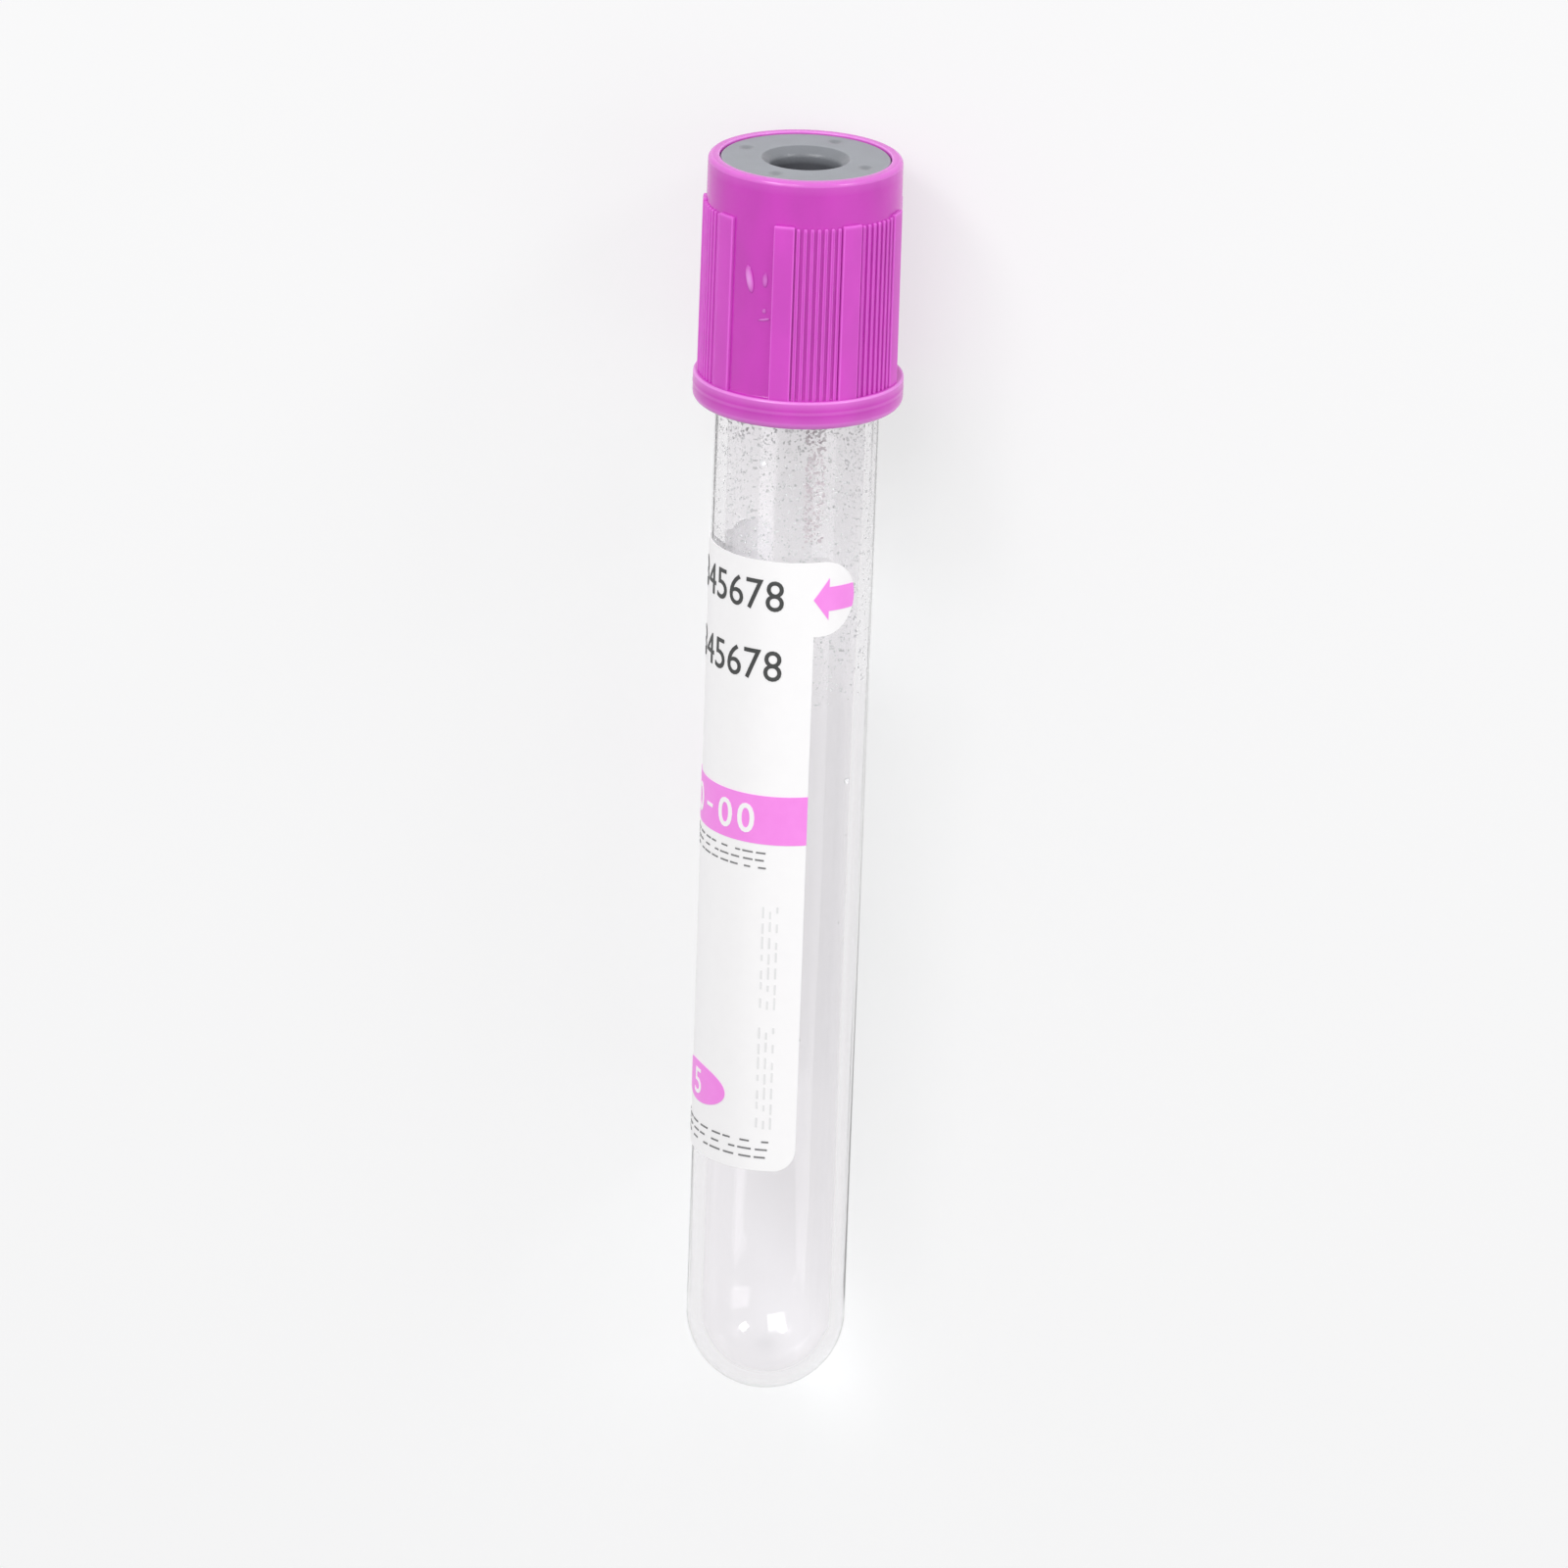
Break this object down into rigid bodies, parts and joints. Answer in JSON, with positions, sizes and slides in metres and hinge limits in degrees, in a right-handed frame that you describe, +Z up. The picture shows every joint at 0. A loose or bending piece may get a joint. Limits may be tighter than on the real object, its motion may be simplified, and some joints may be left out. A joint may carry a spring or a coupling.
{
  "type": "blood collection tube",
  "caption": "Clear round-bottomed sample tube with a rubber stopper in a ribbed pull-off cap and a wrapped white label.",
  "frame": {"origin": "centre of the bounding box's underside: the point on the table below the middle of the lying tube", "axes": "+X along the tube from its cap to its round bottom, +Z up from the table, the label's reading side up and turned 11.25 degrees toward +Y"},
  "size_m": [0.1052, 0.0166, 0.0166],
  "materials": {
    "clear_tube": "clear moulded PET, glossy",
    "dried_additive": "dried clear drops, slightly milky",
    "label_paper": "white semi-gloss label stock",
    "label_ink": "printed pink ink",
    "grey_rubber": "smooth matt butyl rubber",
    "magenta_plastic": "satin moulded polyethylene"
  },
  "bodies": {
    "tube_body": {"tube": "clear_tube", "additive": "dried_additive", "label": "label_paper", "label_print": "label_ink"},
    "closure": {"stopper": "grey_rubber", "cap": "magenta_plastic"}
  },
  "joints": [
    {"name": "closure_pull", "type": "slide", "parent": "tube_body", "child": "closure", "axis": [-0.9998, 0, 0.0222], "range_m": [0, 0.035]}
  ]
}
